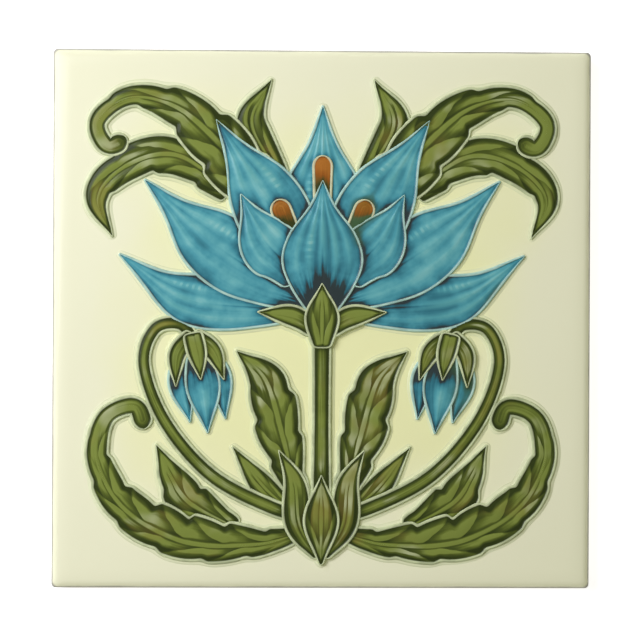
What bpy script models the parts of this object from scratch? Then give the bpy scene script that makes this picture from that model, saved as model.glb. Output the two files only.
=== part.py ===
"""A six-inch relief-moulded wall tile, lying on its back with the glazed face up.

The tile is one pressed and fired piece: a square body with a rolled arris round the face,
key grooves across the back, and a low relief of a water lily, its buds and its leaves.
Run it with: blender --background --python part.py
"""

import math

import bmesh
import bpy
import numpy as np

MM = 0.001

# Body: a nominal 6 inch tile, about 3/8 inch thick
SIDE = 152.4 * MM
GROUND_HEIGHT = 8.5 * MM  # from the back to the flat glazed ground
CORNER_RADIUS = 1.2 * MM  # the four corners, seen from the front
CORNER_SEGMENTS = 3
ARRIS_RADIUS = 2.4 * MM  # rolled edge between the face and the sides
ARRIS_SEGMENTS = 5
BACK_CHAMFER = 0.4 * MM

# Back: shallow grooves that key into the adhesive
GROOVE_COUNT = 8
GROOVE_WIDTH = 9.0 * MM
GROOVE_DEPTH = 1.1 * MM
GROOVE_PITCH = 16.0 * MM
GROOVE_LENGTH = 130.0 * MM
GROOVE_END_SEGMENTS = 8

# Relief: how finely the outlines are drawn, and how far each pad is let into the body
OUTLINE_STEP = 3.2  # mm between outline points
FEWEST_STEPS = 7
PAD_ROOT = 0.9 * MM
WELD = 0.01 * MM

BODY_COLOUR = (0.86, 0.85, 0.68, 1.0)  # cream glaze
BODY_ROUGHNESS = 0.12


def both(spine, lift, left, right=None, round_end=0.0):
    """A pad drawn on the right half of the tile and mirrored to the left. Sizes in mm."""
    return {"spine": spine, "lift": lift, "left": left, "right": right or left,
            "round_end": round_end, "sides": (1, -1)}


def centred(spine, lift, left, round_end=0.0):
    """A pad that lies on the tile's vertical centre line. Sizes in mm."""
    return {"spine": spine, "lift": lift, "left": left, "right": left,
            "round_end": round_end, "sides": (1,)}


# Each pad is a spine of a few points, from base to tip, with half widths to its left and right.
# The origin is the tile's centre, +Y is the top of the picture, and lift is the height over the ground.
LEAVES = [
    # a lobe and a blade behind each corner leaf, then the corner leaf, which curls over at its tip
    both([(26, 36), (41, 46), (55, 43), (63, 34), (59, 23)], 0.6,
         [4, 5.6, 5.8, 4.6, 0], [4, 6.2, 5.4, 3.6, 0]),
    both([(12, 40), (20, 55), (14.5, 67.5)], 0.6, [3, 4.6, 0], [3, 5, 0]),
    both([(14, 30), (27, 47), (40.5, 59), (54, 62), (63, 55.5), (60.5, 48.5), (55, 50.5)], 0.72,
         [6, 8, 7.8, 5.8, 3.8, 2.8, 3], [6, 8.6, 8.2, 5.8, 3, 2.4, 3], round_end=3),
    # the blade behind each low leaf, then the low leaf
    both([(24, -59), (38.5, -50.5), (46.5, -35.5)], 0.6, [3, 6.4, 0], [3, 5.4, 0]),
    both([(3, -59.5), (18, -63.5), (38, -63), (55, -54), (63, -40), (61, -28), (52.5, -24.5), (49.5, -31)], 0.72,
         [1.6, 5, 7.6, 8, 6.2, 4.2, 2.8, 3], [1.6, 3.6, 4.6, 5.2, 4.6, 3.2, 2.4, 3], round_end=3),
    # a short blade and a long leaf on each side of the stem
    both([(5, -56), (15, -48.5), (25, -36)], 0.62, [1.6, 3.6, 0], [1.6, 3.8, 0]),
    both([(3, -56), (8, -44), (12, -29), (16, -17), (24, -9)], 0.8,
         [1.6, 4, 6, 6, 0], [1.6, 4.8, 7.2, 5.6, 0]),
]
STEMS = [
    both([(2.4, -56), (14, -53), (31, -44), (44, -29), (50, -13), (47, -3), (40, -1.5), (36, -6)], 0.8,
         [2, 2.2, 2.2, 2.1, 2, 1.9, 1.9, 1.9]),
    centred([(0, -63), (0, -30), (0, 2)], 0.9, [3, 2.4, 2.6]),
]
SHEATH = [
    both([(1, -67), (6, -58), (7.5, -46), (12, -37)], 1.05, [1.2, 3.6, 3.2, 0], [1.2, 4.2, 3.2, 0]),
    centred([(0, -69), (0, -59), (0, -44)], 1.25, [0.4, 5, 0]),
]
BUDS = [
    # three petals, then three sepals over them
    both([(35.5, -7), (29, -16), (27, -28)], 0.75, [2, 4.2, 0], [2, 3.4, 0]),
    both([(35.5, -7), (39, -17), (37, -29)], 0.8, [2, 4.2, 0], [2, 3.4, 0]),
    both([(35.5, -7), (33.5, -18), (32, -32)], 0.92, [2.4, 4.8, 0]),
    both([(36.2, -4.5), (30.5, -9), (27.5, -17)], 1.1, [2.4, 2.8, 0], [2.4, 2.4, 0]),
    both([(36.2, -4.5), (40.5, -10), (41, -19)], 1.15, [2.4, 2.6, 0], [2.4, 2.4, 0]),
    both([(36.4, -4), (34.8, -11), (34, -17)], 1.28, [2.8, 2.6, 0]),
]
PETALS = [
    # from the back of the bloom to the front
    centred([(0, 6), (0, 32), (0, 60)], 0.7, [3, 9.5, 13.5, 10.5, 4.2, 0]),
    both([(3, 3.2), (19, 3.2), (39, 6), (57, 18)], 0.8, [2.5, 5.6, 7.8, 7.4, 3.2, 0], [2.5, 4.8, 6.8, 7, 3.2, 0]),
    both([(3, 5), (16, 11.5), (33, 23), (50, 39)], 0.9, [3, 7, 10, 9, 3.6, 0]),
    both([(3, 8), (8.5, 19.5), (18, 37), (30, 56)], 1.0, [3, 7.6, 10.4, 9, 3.8, 0]),
    both([(8, 10), (11, 16), (16.5, 22.5), (23, 35)], 1.25, [3, 6.6, 8.2, 6.6, 2.8, 0]),
    centred([(0, 1), (0, 21), (0, 39)], 1.35, [3.4, 8.6, 11.4, 9.4, 3.8, 0]),
]
STAMENS = [
    both([(3, 10), (8.6, 23), (12.8, 33.5)], 1.22, [1.4, 2.7, 3], round_end=2.8),
    centred([(0, 10), (0, 46)], 1.18, [1.6, 2.8], round_end=2.8),
]
CALYX = [
    both([(2, -3), (8, 0.5), (18, 2)], 1.45, [2.6, 3.2, 0], [2.6, 2.8, 0]),
    centred([(0, -8), (0, 1), (0, 10)], 1.7, [2.6, 4.8, 0]),
]


def smooth_path(points, count):
    """A Catmull-Rom curve through the points, read at count places evenly spaced along it."""
    knots = np.asarray(points, float).reshape(len(points), -1)
    ends = np.vstack([2 * knots[0] - knots[1], knots, 2 * knots[-1] - knots[-2]])
    place = np.linspace(0, len(knots) - 1, 24 * (len(knots) - 1) + 1)
    first = np.minimum(place.astype(int), len(knots) - 2)
    t = (place - first)[:, None]
    a, b, c, d = (ends[first + shift] for shift in range(4))
    curve = 0.5 * (2 * b + (c - a) * t + (2 * a - 5 * b + 4 * c - d) * t**2 + (3 * b - a - 3 * c + d) * t**3)
    if curve.shape[1] == 1:
        run = place
    else:
        run = np.concatenate([[0], np.cumsum(np.linalg.norm(np.diff(curve, axis=0), axis=1))])
    wanted = np.linspace(0, run[-1], count)
    return np.stack([np.interp(wanted, run, column) for column in curve.T], axis=1)


def outline(pad, side):
    """The pad's closed outline, in mm: up the left of its spine and down the right."""
    rough = np.asarray(pad["spine"], float)
    length = np.linalg.norm(np.diff(rough, axis=0), axis=1).sum()
    count = max(FEWEST_STEPS, round(length / OUTLINE_STEP)) + 1
    spine = smooth_path(pad["spine"], count)
    along = np.gradient(spine, axis=0)
    along /= np.linalg.norm(along, axis=1)[:, None]
    across = np.stack([-along[:, 1], along[:, 0]], axis=1)
    left = np.maximum(smooth_path(pad["left"], count), 0)
    right = np.maximum(smooth_path(pad["right"], count), 0)
    if pad["round_end"]:
        from_tip = np.linspace(length, 0, count) / pad["round_end"]
        rounding = np.sqrt(1 - (1 - np.clip(from_tip, 0.1, 1)) ** 2)[:, None]
        left, right = left * rounding, right * rounding
    points = np.vstack([spine + across * left, (spine - across * right)[::-1]])
    apart = np.linalg.norm(points - np.roll(points, 1, axis=0), axis=1) > 0.05
    return points[apart] * [side, 1]


def mesh_object(name, mesh, collection):
    made = bpy.data.objects.new(name, mesh)
    collection.objects.link(made)
    return made


def add_prism(name, points, bottom, top, collection):
    """A closed prism: the outline, in metres, filled and extruded from bottom to top."""
    curve = bpy.data.curves.new(name, "CURVE")
    curve.dimensions = "2D"
    curve.fill_mode = "BOTH"
    curve.extrude = (top - bottom) / 2
    spline = curve.splines.new("POLY")
    spline.points.add(len(points) - 1)
    for point, (x, y) in zip(spline.points, points):
        point.co = (x, y, 0, 1)
    spline.use_cyclic_u = True
    drawn = mesh_object(name, curve, collection)
    bpy.context.view_layer.update()
    graph = bpy.context.evaluated_depsgraph_get()
    mesh = bpy.data.meshes.new_from_object(drawn.evaluated_get(graph))
    bpy.data.objects.remove(drawn)
    solid = bmesh.new()
    solid.from_mesh(mesh)
    bmesh.ops.remove_doubles(solid, verts=solid.verts, dist=WELD)
    bmesh.ops.recalc_face_normals(solid, faces=solid.faces)
    solid.to_mesh(mesh)
    solid.free()
    made = mesh_object(name, mesh, collection)
    made.location.z = (top + bottom) / 2
    made.hide_render = True
    made.display_type = "WIRE"


def add_pad(pad, side, collection):
    """One flat-topped pad of relief, let into the body at its foot."""
    add_prism("relief_pad", outline(pad, side) * MM, GROUND_HEIGHT - PAD_ROOT, GROUND_HEIGHT + pad["lift"] * MM,
              collection)


def add_groove(x, collection):
    """A round-ended cutter for one key groove, standing proud of the back."""
    radius = GROOVE_WIDTH / 2
    straight = GROOVE_LENGTH / 2 - radius
    turn = np.linspace(0, math.pi, GROOVE_END_SEGMENTS + 1)
    end = np.stack([radius * np.cos(turn), straight + radius * np.sin(turn)], axis=1)
    add_prism("groove_cutter", np.vstack([end, -end]) + [x, 0], -GROOVE_DEPTH, GROOVE_DEPTH, collection)


def tile_body():
    """The square body: rounded corners, a rolled arris round the face and a fine chamfer at the back."""
    solid = bmesh.new()
    bmesh.ops.create_cube(solid, size=1)
    bmesh.ops.scale(solid, vec=(SIDE, SIDE, GROUND_HEIGHT), verts=solid.verts)
    bmesh.ops.translate(solid, vec=(0, 0, GROUND_HEIGHT / 2), verts=solid.verts)

    def edges_where(test):
        return [edge for edge in solid.edges if test(*(v.co for v in edge.verts))]

    upright = edges_where(lambda a, b: abs(a.z - b.z) > GROUND_HEIGHT / 2)
    bmesh.ops.bevel(solid, geom=upright, offset=CORNER_RADIUS, segments=CORNER_SEGMENTS, profile=0.5,
                    affect="EDGES")
    face_rim = edges_where(lambda a, b: min(a.z, b.z) > GROUND_HEIGHT - 0.1 * MM)
    bmesh.ops.bevel(solid, geom=face_rim, offset=ARRIS_RADIUS, segments=ARRIS_SEGMENTS, profile=0.5,
                    affect="EDGES", clamp_overlap=False)
    back_rim = edges_where(lambda a, b: max(a.z, b.z) < 0.1 * MM)
    bmesh.ops.bevel(solid, geom=back_rim, offset=BACK_CHAMFER, segments=1, profile=0.5, affect="EDGES")
    mesh = bpy.data.meshes.new("tile")
    solid.to_mesh(mesh)
    solid.free()
    return mesh


def glaze():
    material = bpy.data.materials.new("cream_glaze")
    material.use_nodes = True
    shader = material.node_tree.nodes["Principled BSDF"]
    shader.inputs["Base Color"].default_value = BODY_COLOUR
    shader.inputs["Roughness"].default_value = BODY_ROUGHNESS
    shader.inputs["Metallic"].default_value = 0.0
    return material


def boolean(target, operation, collection):
    modifier = target.modifiers.new(operation.lower(), "BOOLEAN")
    modifier.operation = operation
    modifier.operand_type = "COLLECTION"
    modifier.collection = collection
    modifier.solver = "MANIFOLD"  # the pads overlap one another, which EXACT leaves open


def main():
    for old in list(bpy.data.objects):
        bpy.data.objects.remove(old)
    scene = bpy.context.scene.collection
    part = bpy.data.collections.new("art_nouveau_tile")
    pads = bpy.data.collections.new("relief_pads")
    cutters = bpy.data.collections.new("groove_cutters")
    for collection in (part, pads, cutters):
        scene.children.link(collection)

    for pad in LEAVES + STEMS + SHEATH + BUDS + PETALS + STAMENS + CALYX:
        for side in pad["sides"]:
            add_pad(pad, side, pads)
    first_groove = -GROOVE_PITCH * (GROOVE_COUNT - 1) / 2
    for index in range(GROOVE_COUNT):
        add_groove(first_groove + index * GROOVE_PITCH, cutters)

    tile = mesh_object("tile", tile_body(), part)
    tile.data.materials.append(glaze())
    boolean(tile, "UNION", pads)
    boolean(tile, "DIFFERENCE", cutters)


main()
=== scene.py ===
import math

import bmesh
import bpy
import numpy as np
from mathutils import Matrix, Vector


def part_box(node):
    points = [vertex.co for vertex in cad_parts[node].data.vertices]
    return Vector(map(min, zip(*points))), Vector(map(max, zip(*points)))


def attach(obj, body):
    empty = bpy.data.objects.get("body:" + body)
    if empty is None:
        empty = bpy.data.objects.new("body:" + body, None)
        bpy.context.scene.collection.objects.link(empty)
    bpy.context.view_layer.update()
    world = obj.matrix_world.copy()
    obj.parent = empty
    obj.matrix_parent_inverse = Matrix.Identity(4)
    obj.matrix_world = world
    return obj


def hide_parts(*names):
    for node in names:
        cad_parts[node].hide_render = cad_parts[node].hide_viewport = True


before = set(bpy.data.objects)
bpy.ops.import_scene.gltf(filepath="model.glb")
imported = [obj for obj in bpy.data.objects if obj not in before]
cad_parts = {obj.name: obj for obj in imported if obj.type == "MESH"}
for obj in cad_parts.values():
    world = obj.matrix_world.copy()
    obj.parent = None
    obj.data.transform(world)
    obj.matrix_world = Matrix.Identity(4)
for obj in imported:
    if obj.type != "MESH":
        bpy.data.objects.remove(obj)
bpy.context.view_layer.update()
tileLow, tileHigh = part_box("tile")

mm = 0.001
halfSide = (tileHigh.x - tileLow.x) / 2 / mm
groundHeight = 8.5  # mm over the back, where the flat glazed ground lies


# Camera and light

camera = {
    "lens": 85.0,
    "place": (-7.4 * mm, -0.7 * mm, 437.1 * mm),  # fitted to the four corners of the tile in the photograph
    "turn": (-0.015, -0.987, 0.258),  # degrees about X, Y and Z
    "nearest": 0.01,
}
studio = {
    "keyPlace": (-0.35, 0.175, 0.44),
    "keySize": 0.36,
    "keyPower": 2.86,
    "keyColour": (1.0, 1.0, 1.16),  # a cool key in a warm room
    "fillPlace": (0.45, -0.25, 0.5),
    "fillSize": 0.5,
    "fillPower": 0.05,
    "fillColour": (1.0, 1.0, 1.0),
    "roomColour": (1.0, 1.0, 0.71),
    "roomStrength": 0.245,
    "floorSide": 8.0,  # reaches past the top of a low view
    "floorDrop": 0.1 * mm,  # keeps the floor clear of the tile's back
    "floorColour": (0.9, 0.9, 0.9),
    "floorRoughness": 0.9,
    "floorTint": (0.97, 0.97, 1.0),  # evens out the warm room
    "floorGlow": 0.76,
}


def addLight(name):
    data = bpy.data.lights.new(name, "AREA")
    data.shape = "SQUARE"
    data.size = studio[name + "Size"]
    data.energy = studio[name + "Power"]
    data.color = studio[name + "Colour"]
    light = bpy.data.objects.new(name, data)
    bpy.context.scene.collection.objects.link(light)
    light.location = studio[name + "Place"]
    light.rotation_euler = light.location.to_track_quat("Z", "Y").to_euler()  # shines on the tile's middle


def addCamera():
    data = bpy.data.cameras.new("camera")
    data.lens = camera["lens"]
    data.clip_start = camera["nearest"]
    view = bpy.data.objects.new("camera", data)
    bpy.context.scene.collection.objects.link(view)
    view.location = camera["place"]
    view.rotation_euler = [math.radians(angle) for angle in camera["turn"]]
    bpy.context.scene.camera = view


def addRoom():
    world = bpy.data.worlds.new("studio")
    world.use_nodes = True
    room = world.node_tree.nodes["Background"]
    room.inputs["Color"].default_value = (*studio["roomColour"], 1)
    room.inputs["Strength"].default_value = studio["roomStrength"]
    bpy.context.scene.world = world
    bpy.context.scene.view_settings.view_transform = "Standard"


def addFloor():
    bpy.ops.mesh.primitive_plane_add(size=studio["floorSide"], location=(0, 0, -studio["floorDrop"]))
    floor = bpy.context.object
    floor.name = "floor"
    paint = bpy.data.materials.new("pale_floor")
    paint.use_nodes = True
    shader = paint.node_tree.nodes["Principled BSDF"]
    shader.inputs["Base Color"].default_value = (*studio["floorColour"], 1)
    shader.inputs["Roughness"].default_value = studio["floorRoughness"]
    shader.inputs["Emission Color"].default_value = (*studio["floorTint"], 1)
    shader.inputs["Emission Strength"].default_value = studio["floorGlow"]
    floor.data.materials.append(paint)


addCamera()
addRoom()
addLight("key")
addLight("fill")
addFloor()
print("stage: camera and light")


# Curves and meshes

samplesPerStretch = 40
weldReach = 1e-7  # m
tiny = 1e-12  # keeps a division clear of zero


def smoothPath(points, wanted):
    # A Catmull-Rom curve: each stretch is a cubic whose slope at a point is half the way between its
    # neighbours. It is read at the wanted shares of its length, which comes back too. A single column,
    # such as half widths, counts its points as evenly spaced.
    knots = np.asarray(points, float).reshape(len(points), -1)
    ends = np.vstack([2 * knots[0] - knots[1], knots, 2 * knots[-1] - knots[-2]])
    place = np.linspace(0, len(knots) - 1, samplesPerStretch * (len(knots) - 1) + 1)
    first = np.minimum(place.astype(int), len(knots) - 2)
    t = (place - first)[:, None]
    a, b, c, d = (ends[first + shift] for shift in range(4))
    curve = 0.5 * (2 * b + (c - a) * t + (2 * a - 5 * b + 4 * c - d) * t**2 + (3 * b - a - 3 * c + d) * t**3)
    run = place
    if curve.shape[1] > 1:
        run = np.concatenate([[0], np.cumsum(np.linalg.norm(np.diff(curve, axis=0), axis=1))])
    read = np.asarray(wanted) * run[-1]
    return np.stack([np.interp(read, run, column) for column in curve.T], axis=1), run[-1]


def ease(low, high, value):
    # 0 below low, 1 above high, and the smooth cubic 3t2 - 2t3 between them
    t = np.clip((value - low) / (high - low), 0, 1)
    return t * t * (3 - 2 * t)


def within(stretch, value):
    # rises from 0 to 1 between the stretch's first two numbers, and falls back between its last two
    start, full, fading, end = stretch
    return ease(start, full, value) * ease(end, fading, value)


def bell(offset, width):
    # 1 in the middle, and the exponential of minus the square of the offset over the width around it
    return np.exp(-((offset / width) ** 2))


def hump(share):
    # one turn of a cosine, from 0 up to 1 at a half and down to 0 again
    return 0.5 - 0.5 * np.cos(2 * math.pi * share)


def ringFaces(rings, around):
    # quads between neighbouring rings of a grid that closes round on itself
    ring, step = np.meshgrid(np.arange(rings - 1), np.arange(around), indexing="ij")
    here = ring * around + step
    beside = ring * around + (step + 1) % around
    return np.stack([here, beside, beside + around, here + around], axis=-1).reshape(-1, 4)


def meshPiece(name, points, faces, values=None, maps=None):
    # a mesh from arrays of points and quads, with its doubles merged and its faces turned outwards
    mesh = bpy.data.meshes.new(name)
    mesh.vertices.add(len(points))
    mesh.vertices.foreach_set("co", np.asarray(points, np.float32).ravel())
    mesh.loops.add(faces.size)
    mesh.loops.foreach_set("vertex_index", faces.astype(np.int32).ravel())
    mesh.polygons.add(len(faces))
    mesh.polygons.foreach_set("loop_start", np.arange(0, faces.size, faces.shape[1], dtype=np.int32))
    mesh.update(calc_edges=True)
    mesh.validate()
    for key, column in (values or {}).items():
        mesh.attributes.new(key, "FLOAT", "POINT").data.foreach_set("value", np.asarray(column, np.float32))
    for key, places in (maps or {}).items():
        layer = mesh.uv_layers.new(name=key)
        layer.data.foreach_set("uv", np.asarray(places, np.float32)[faces.ravel()].ravel())
    closed = bmesh.new()
    closed.from_mesh(mesh)
    bmesh.ops.remove_doubles(closed, verts=closed.verts, dist=weldReach)
    bmesh.ops.dissolve_degenerate(closed, edges=closed.edges, dist=weldReach)
    bmesh.ops.recalc_face_normals(closed, faces=closed.faces)
    closed.to_mesh(mesh)
    closed.free()
    mesh.shade_smooth()
    piece = bpy.data.objects.new(name, mesh)
    bpy.context.scene.collection.objects.link(piece)
    return piece


# The body: one closed skin over the back, the sides, the rolled arris and the glazed ground. Sizes in mm.

body = {
    "cornerRadius": 1.2,  # of the four corners seen from the front
    "cornerOpening": 0.35,  # how much that radius grows for each mm inwards
    "cornerSteps": 7,
    "sideSteps": 76,
    "backChamfer": 0.4,
    "wallSteps": 6,
    "arrisReach": 2.4,  # how far in the rounded arris goes
    "arrisSteps": 10,
    "rimSlope": 6.0,  # degrees that the ground has turned down by where the arris starts
    "rimWidth": 3.4,
    "rimRings": 9,
    "groundRings": 42,
    "ripple": 0.022,  # the slight swell of the fired glaze
    "rippleEnd": 0.9,  # share of the way out where the swell starts to fade
    "sharpAngle": 40,  # degrees
}
rippleWaves = [  # radians for each mm along x and along y, start, share of the swell
    (0.112, 0.051, 0.4, 1.0),
    (-0.083, 0.147, 2.1, 0.7),
    (0.211, -0.117, 4.0, 0.5),
    (0.263, 0.241, 1.3, 0.35),
]
grooves = {
    "count": 8,
    "pitch": 16.0,
    "width": 9.0,
    "length": 130.0,
    "depth": 1.1,
    "endSteps": 24,
    "overshoot": 1.0,  # how far a cutter reaches below the back
}


def squareRing(inset):
    # A square with round corners, walked once round. Insetting it draws its sides in and opens its
    # corner radius a little, so that neighbouring rings never cross.
    half = halfSide - inset
    radius = body["cornerRadius"] + body["cornerOpening"] * inset
    turn = np.linspace(0, math.pi / 2, body["cornerSteps"])
    straight = np.linspace(1, -1, body["sideSteps"] + 2)[1:-1] * (half - radius)
    corner = np.stack([half - radius + radius * np.cos(turn), half - radius + radius * np.sin(turn)], axis=1)
    quarter = np.vstack([corner, np.stack([straight, np.full_like(straight, half)], axis=1)])
    quarters = []
    for turned in range(4):
        c = round(math.cos(turned * math.pi / 2))
        s = round(math.sin(turned * math.pi / 2))
        quarters.append(quarter @ np.array([[c, s], [-s, c]]))
    return np.vstack(quarters)


def flatLayer(xy, height):
    return np.column_stack([xy, np.full(len(xy), height)])


def glazeRipple(x, y):
    # a sum of long sine waves at odd angles, which is how an even glaze lies once fired
    waves = [share * np.sin(alongX * x + alongY * y + start) for alongX, alongY, start, share in rippleWaves]
    return body["ripple"] * sum(waves)


def buildBody():
    # The profile runs from the back's chamfer up the wall, over a circle's arc that ends at the rim's
    # slope, and in to the middle. The ground falls to the rim as the square of the way across it, and
    # such a parabola falls by half its end slope times its width.
    slope = math.radians(body["rimSlope"])
    rimDrop = math.tan(slope) * body["rimWidth"] / 2
    radius = body["arrisReach"] / (1 - math.sin(slope))
    wallTop = groundHeight - rimDrop - radius * math.cos(slope)
    turn = np.linspace(0, math.pi / 2 - slope, body["arrisSteps"] + 1)[1:]
    profile = [(body["backChamfer"], 0.0)]
    profile += [(0.0, height) for height in np.linspace(body["backChamfer"], wallTop, body["wallSteps"])]
    profile += [(radius * (1 - math.cos(a)), wallTop + radius * math.sin(a)) for a in turn]
    layers = [flatLayer(squareRing(inset), height) for inset, height in profile]
    face = squareRing(body["arrisReach"])
    rimShare = 1 - body["rimWidth"] / face.max()
    rimScales = np.linspace(1, rimShare, body["rimRings"])[1:]
    groundScales = np.linspace(rimShare, 0, body["groundRings"])[1:]
    for scale in np.concatenate([rimScales, groundScales]):
        x, y = (face * scale).T
        fall = rimDrop * max(0, (scale - rimShare) / (1 - rimShare)) ** 2
        swell = glazeRipple(x, y) * ease(1.0, body["rippleEnd"], scale)
        layers.append(np.column_stack([x, y, groundHeight - fall + swell]))
    backMiddle = layers[0] * [0, 0, 1]  # the first ring drawn in to one point, which closes the back
    points = np.vstack([backMiddle, *layers]) * mm
    piece = meshPiece("tile_body", points, ringFaces(len(layers) + 1, len(face)))
    cutGrooves(piece)
    return piece


def grooveCutter(index):
    # a round-ended slot, two half circles joined by straight sides, drawn up into a prism
    radius = grooves["width"] / 2
    turn = np.linspace(0, math.pi, grooves["endSteps"] + 1)
    end = np.stack([radius * np.cos(turn), grooves["length"] / 2 - radius + radius * np.sin(turn)], axis=1)
    across = grooves["pitch"] * (index - (grooves["count"] - 1) / 2)
    slot = np.vstack([end, -end]) + [across, 0]
    middle = np.tile(slot.mean(axis=0), (len(slot), 1))
    bottom, top = -grooves["overshoot"], grooves["depth"]
    layers = [(middle, bottom), (slot, bottom), (slot, top), (middle, top)]
    points = np.vstack([flatLayer(xy, height) for xy, height in layers]) * mm
    return meshPiece(f"groove_cutter_{index}", points, ringFaces(len(layers), len(slot)))


def cutGrooves(piece):
    cutters = [grooveCutter(index) for index in range(grooves["count"])]
    for cutter in cutters:
        cut = piece.modifiers.new("groove", "BOOLEAN")
        cut.operation = "DIFFERENCE"
        cut.object = cutter
        cut.solver = "EXACT"
    bpy.context.view_layer.update()
    graph = bpy.context.evaluated_depsgraph_get()
    whole = bpy.data.meshes.new_from_object(piece.evaluated_get(graph))
    piece.modifiers.clear()
    piece.data = whole
    for cutter in cutters:
        bpy.data.objects.remove(cutter)
    piece.data.shade_smooth()
    piece.data.set_sharp_from_angle(angle=math.radians(body["sharpAngle"]))


# The relief: every leaf and petal is a pad with a raised outline, a pool of glaze inside it and a low
# ledge outside it. Sizes in mm. A spine runs from base to tip, with evenly spaced half widths to its
# left and right. Lift is the height of the pad's floor over the ground, and tipLift is that at its tip.
# roundEnd is the radius of a round tip. On a leaf, notches counts the lobes, veins is how much they show
# and tooth is how deep they cut the outline. On a petal, ribs counts the flutes of each side, and
# crinkle is the share of its length where a row of rungs starts.

def both(kind, spine, lift, left, right=None, **more):
    # a shape on each side of the tile, whose own two sides have their lobes half a lobe apart
    return {"kind": kind, "spine": spine, "lift": lift, "left": left, "right": right or left,
            "sides": (1, -1), "stagger": 0.5, **more}


def centred(kind, spine, lift, left, **more):
    return {"kind": kind, "spine": spine, "lift": lift, "left": left, "right": left,
            "sides": (1,), "stagger": 0, **more}


upperLeaves = {
    "slot": "green_glaze",
    "shapes": [
        both("leaf", [(26, 36), (41, 46), (55, 43), (63, 34), (59, 23)], 0.3,
             [4, 5.6, 5.8, 4.6, 0], [4, 6.2, 5.4, 3.6, 0], veins=0.9, notches=3.4),
        both("leaf", [(12, 40), (20, 55), (14.5, 67.5)], 0.3,
             [3, 4.6, 0], [3, 5, 0], veins=0.9, notches=1.3, tooth=0),
        both("leaf", [(14, 30), (27, 47), (40.5, 59), (54, 62), (63, 55.5), (60.5, 48.5), (55, 50.5)], 0.42,
             [6, 8.4, 8.2, 6, 3.8, 2.8, 3], [6, 9, 8.6, 6, 3, 2.4, 3], roundEnd=3, veins=1, notches=5.4),
    ],
}
lowerLeaves = {
    "slot": "green_glaze",
    "shapes": [
        both("leaf", [(24, -59), (38.5, -50.5), (46.5, -35.5)], 0.3,
             [3, 6.6, 0], [3, 5.6, 0], veins=0.9, notches=2.4),
        both("leaf", [(3, -59.5), (18, -63.5), (38, -63), (55, -54), (63, -40), (61, -28), (52.5, -24.5),
                      (49.5, -31)], 0.42,
             [1.6, 5, 8, 8.4, 6.4, 4.2, 2.8, 3], [1.6, 3.6, 4.8, 5.4, 4.8, 3.2, 2.4, 3],
             roundEnd=3, veins=1, notches=8.4),
        both("leaf", [(5, -56), (15, -48.5), (25, -36)], 0.32,
             [1.6, 3.6, 0], [1.6, 3.8, 0], veins=0.8, notches=1.2, tooth=0),
        both("leaf", [(3, -56), (8, -44), (12, -29), (16, -17), (24, -9)], 0.5,
             [1.6, 4, 6.2, 6.2, 0], [1.6, 4.8, 7.4, 5.8, 0], veins=0.9, notches=4.4),
    ],
}
stemsAndSepals = {
    "slot": "green_glaze",
    "shapes": [
        # the buds' stems and the middle one
        both("stem", [(2.4, -56), (14, -53), (31, -44), (44, -29), (50, -13), (47, -3), (40, -1.5), (36, -6)],
             0.5, [2, 2.2, 2.2, 2.1, 2, 1.9, 1.9, 1.9]),
        centred("stem", [(0, -63), (0, -30), (0, 2)], 0.6, [3, 2.4, 2.6]),
        # the sheath that the stems rise from
        both("leaf", [(1, -67), (6, -58), (7.5, -46), (12, -37)], 0.75,
             [1.2, 3.6, 3.2, 0], [1.2, 4.2, 3.2, 0], veins=0.9, notches=1.1, tooth=0),
        centred("leaf", [(0, -69), (0, -59), (0, -44)], 0.95, [0.4, 5, 0], veins=0.9, notches=1.4, tooth=0),
        # the buds' sepals
        both("leaf", [(36.2, -4.5), (30.5, -9), (27.5, -17)], 0.8, [2.4, 2.8, 0], [2.4, 2.4, 0]),
        both("leaf", [(36.2, -4.5), (40.5, -10), (41, -19)], 0.85, [2.4, 2.6, 0], [2.4, 2.4, 0]),
        both("leaf", [(36.4, -4), (34.8, -11), (34, -17)], 0.98, [2.8, 2.6, 0]),
        # the bloom's sepals
        both("leaf", [(2, -3), (8, 0.5), (18, 2)], 1.15, [2.6, 3.2, 0], [2.6, 2.8, 0]),
        centred("leaf", [(0, -8), (0, 1), (0, 10)], 1.3, [2.6, 4.8, 0], veins=0.8, notches=1.2, tooth=0),
    ],
}
petals = {
    "slot": "blue_glaze",
    "throat": {"place": (0, 2), "dark": 1.0, "clear": 16.0},  # where the glaze has run together
    "shapes": [
        centred("petal", [(0, 6), (0, 32), (0, 60)], 0.4,
                [3, 9.5, 13.5, 10.5, 4.2, 0], ribs=3, crinkle=0.45),
        both("petal", [(3, 3.2), (19, 3.2), (39, 6), (57, 18)], 0.55,
             [2.5, 5.6, 7.8, 7.4, 3.2, 0], [2.5, 4.8, 6.8, 7, 3.2, 0], tipLift=0.42, ribs=2, crinkle=0.5),
        both("petal", [(3, 5), (16, 11.5), (33, 23), (50, 39)], 0.7,
             [3, 7, 10, 9, 3.6, 0], tipLift=0.46, ribs=2, crinkle=0.4),
        both("petal", [(3, 8), (8.5, 19.5), (18, 37), (30, 56)], 0.85,
             [3, 7.6, 10.4, 9, 3.8, 0], tipLift=0.52, ribs=2, crinkle=0.5),
        both("petal", [(8, 10), (11, 16), (16.5, 22.5), (23, 35)], 1.0,
             [3, 6.6, 8.2, 6.6, 2.8, 0], tipLift=0.85, ribs=2),
        centred("petal", [(0, 1), (0, 21), (0, 39)], 1.1,
                [3.4, 8.6, 11.4, 9.4, 3.8, 0], tipLift=0.95, ribs=3, crinkle=0.4),
    ],
}
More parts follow.
